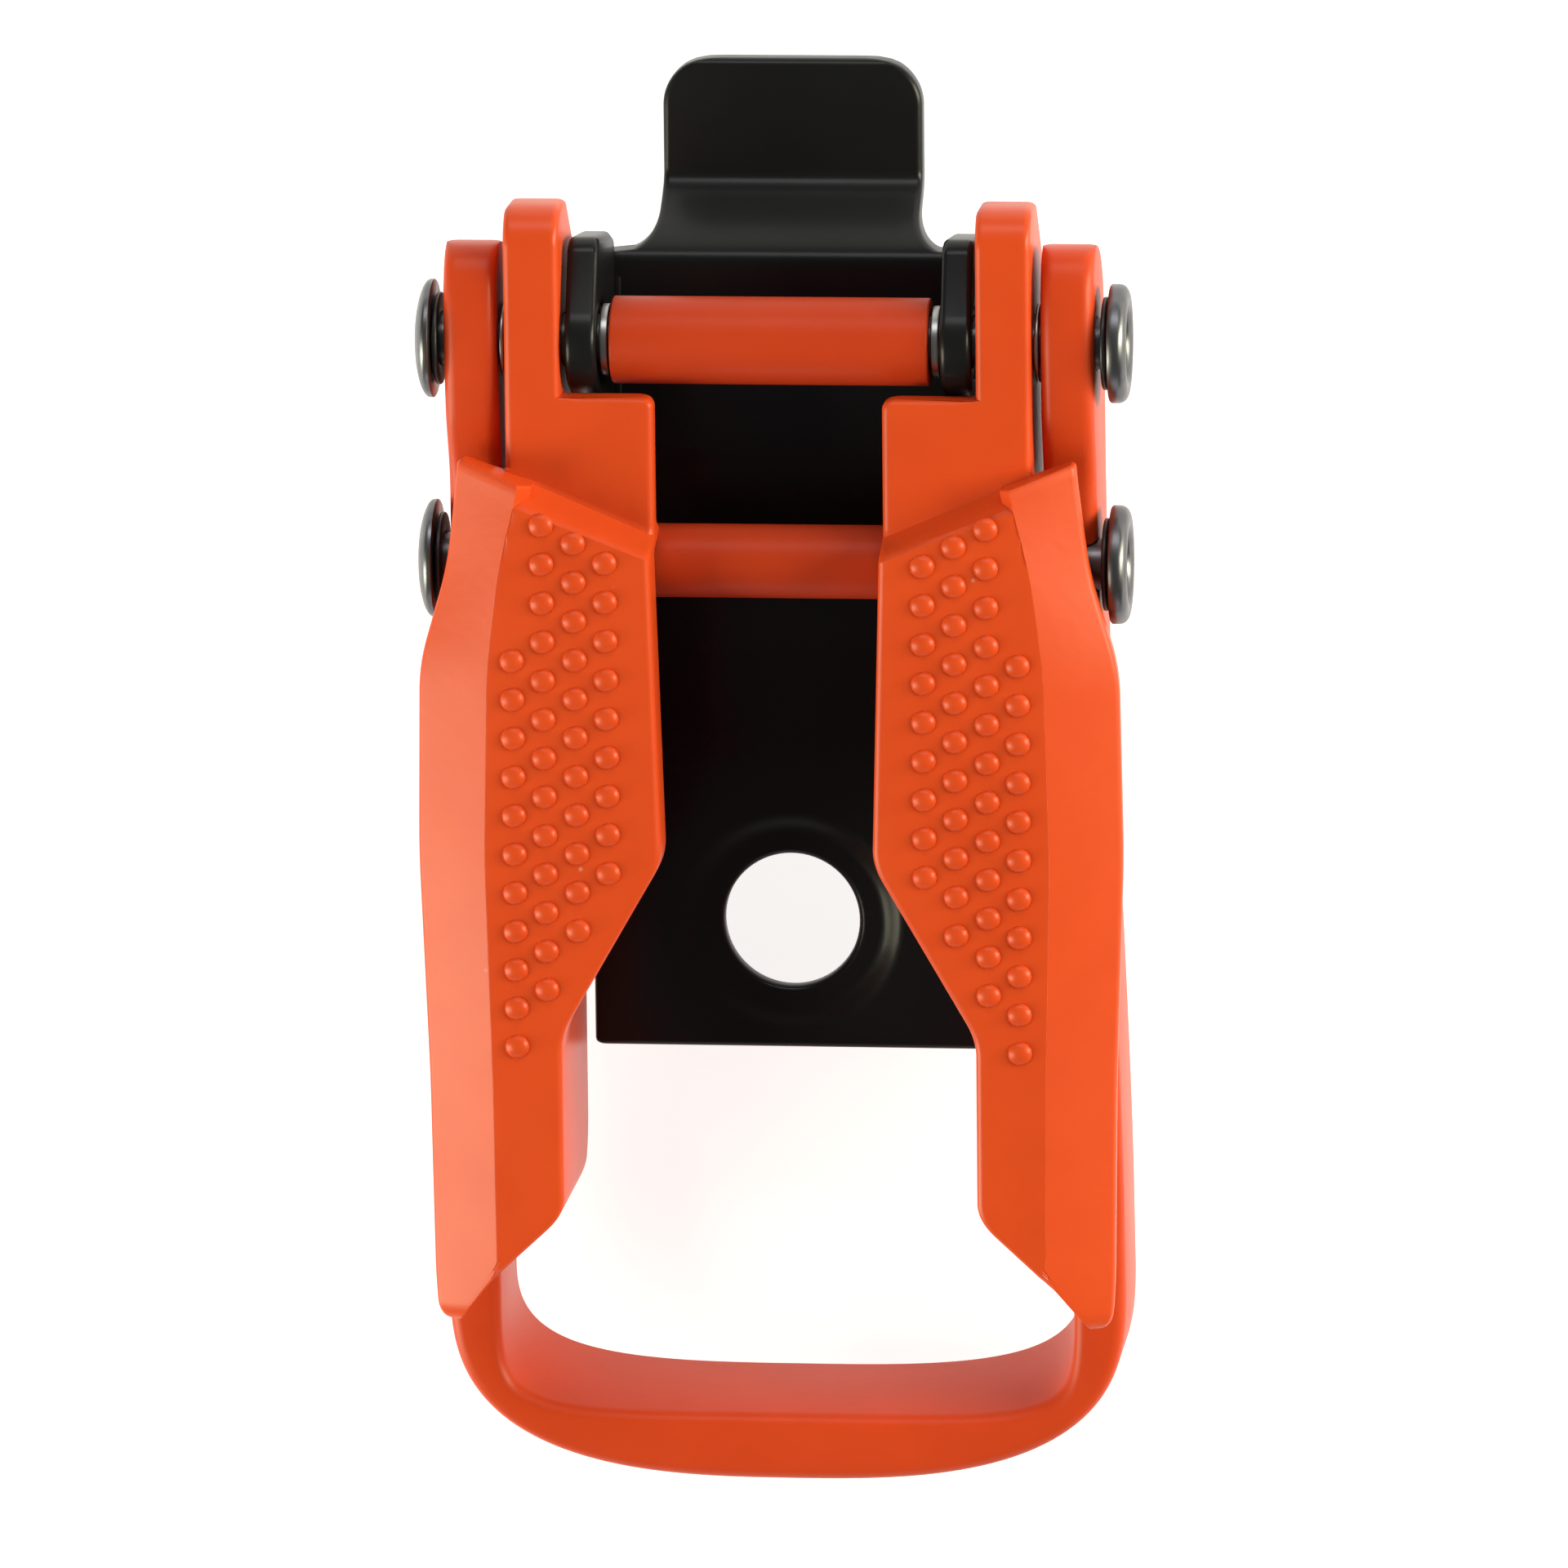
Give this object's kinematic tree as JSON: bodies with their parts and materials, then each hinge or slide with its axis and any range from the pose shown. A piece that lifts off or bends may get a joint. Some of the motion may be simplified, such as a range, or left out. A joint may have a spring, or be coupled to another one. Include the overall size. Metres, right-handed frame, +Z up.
{
  "type": "lever strap buckle",
  "caption": "Over-centre lever buckle for a toothed strap: black stamped base plate with ears, tongue and screw hole, orange two-grip lever with finger loop and turning sleeves.",
  "frame": {"origin": "on the underside of the base plate, on its centre line, straight below the pivot axle", "axes": "+Y towards the front tongue, +X towards the right-hand grip, +Z up from the base plate to the lever"},
  "size_m": [0.0416, 0.0835, 0.0199],
  "materials": {
    "orange_enamel": "satin orange powder coat",
    "orange_sleeve": "satin darker orange coat",
    "black_enamel": "glossy black enamel",
    "zinc_steel": "bright zinc plate",
    "dark_steel": "dark polished steel",
    "bearing_bronze": "plain bearing bronze"
  },
  "bodies": {
    "base": {"base_plate": "black_enamel", "base_ear_bush_left": "bearing_bronze", "base_ear_bush_right": "bearing_bronze", "pivot_roller_washer_left": "zinc_steel", "pivot_roller_washer_right": "zinc_steel"},
    "lever": {"lever_loop": "orange_enamel", "grip_left": "orange_enamel", "grip_right": "orange_enamel", "pivot_axle": "dark_steel", "strap_axle": "dark_steel", "strap_roller_washer_left": "zinc_steel", "pivot_head_washer_left": "black_enamel", "pivot_spacer_left": "zinc_steel", "strap_head_washer_left": "black_enamel", "strap_spacer_left": "zinc_steel", "strap_roller_washer_right": "zinc_steel", "pivot_head_washer_right": "black_enamel", "pivot_spacer_right": "zinc_steel", "strap_head_washer_right": "black_enamel", "strap_spacer_right": "zinc_steel"},
    "pivot_roller": {"pivot_roller": "orange_sleeve"},
    "strap_roller": {"strap_roller": "orange_sleeve"}
  },
  "joints": [
    {"name": "lever_pivot", "type": "hinge", "parent": "base", "child": "lever", "pos_m": [0, 0, 0.0086], "axis": [-1, 0, 0], "range_deg": [0, 100]},
    {"name": "pivot_roller_spin", "type": "hinge", "parent": "base", "child": "pivot_roller", "pos_m": [0, 0, 0.0086], "axis": [1, 0, 0], "continuous": true},
    {"name": "strap_roller_spin", "type": "hinge", "parent": "lever", "child": "strap_roller", "pos_m": [0, -0.013, 0.0086], "axis": [1, 0, 0], "continuous": true}
  ]
}
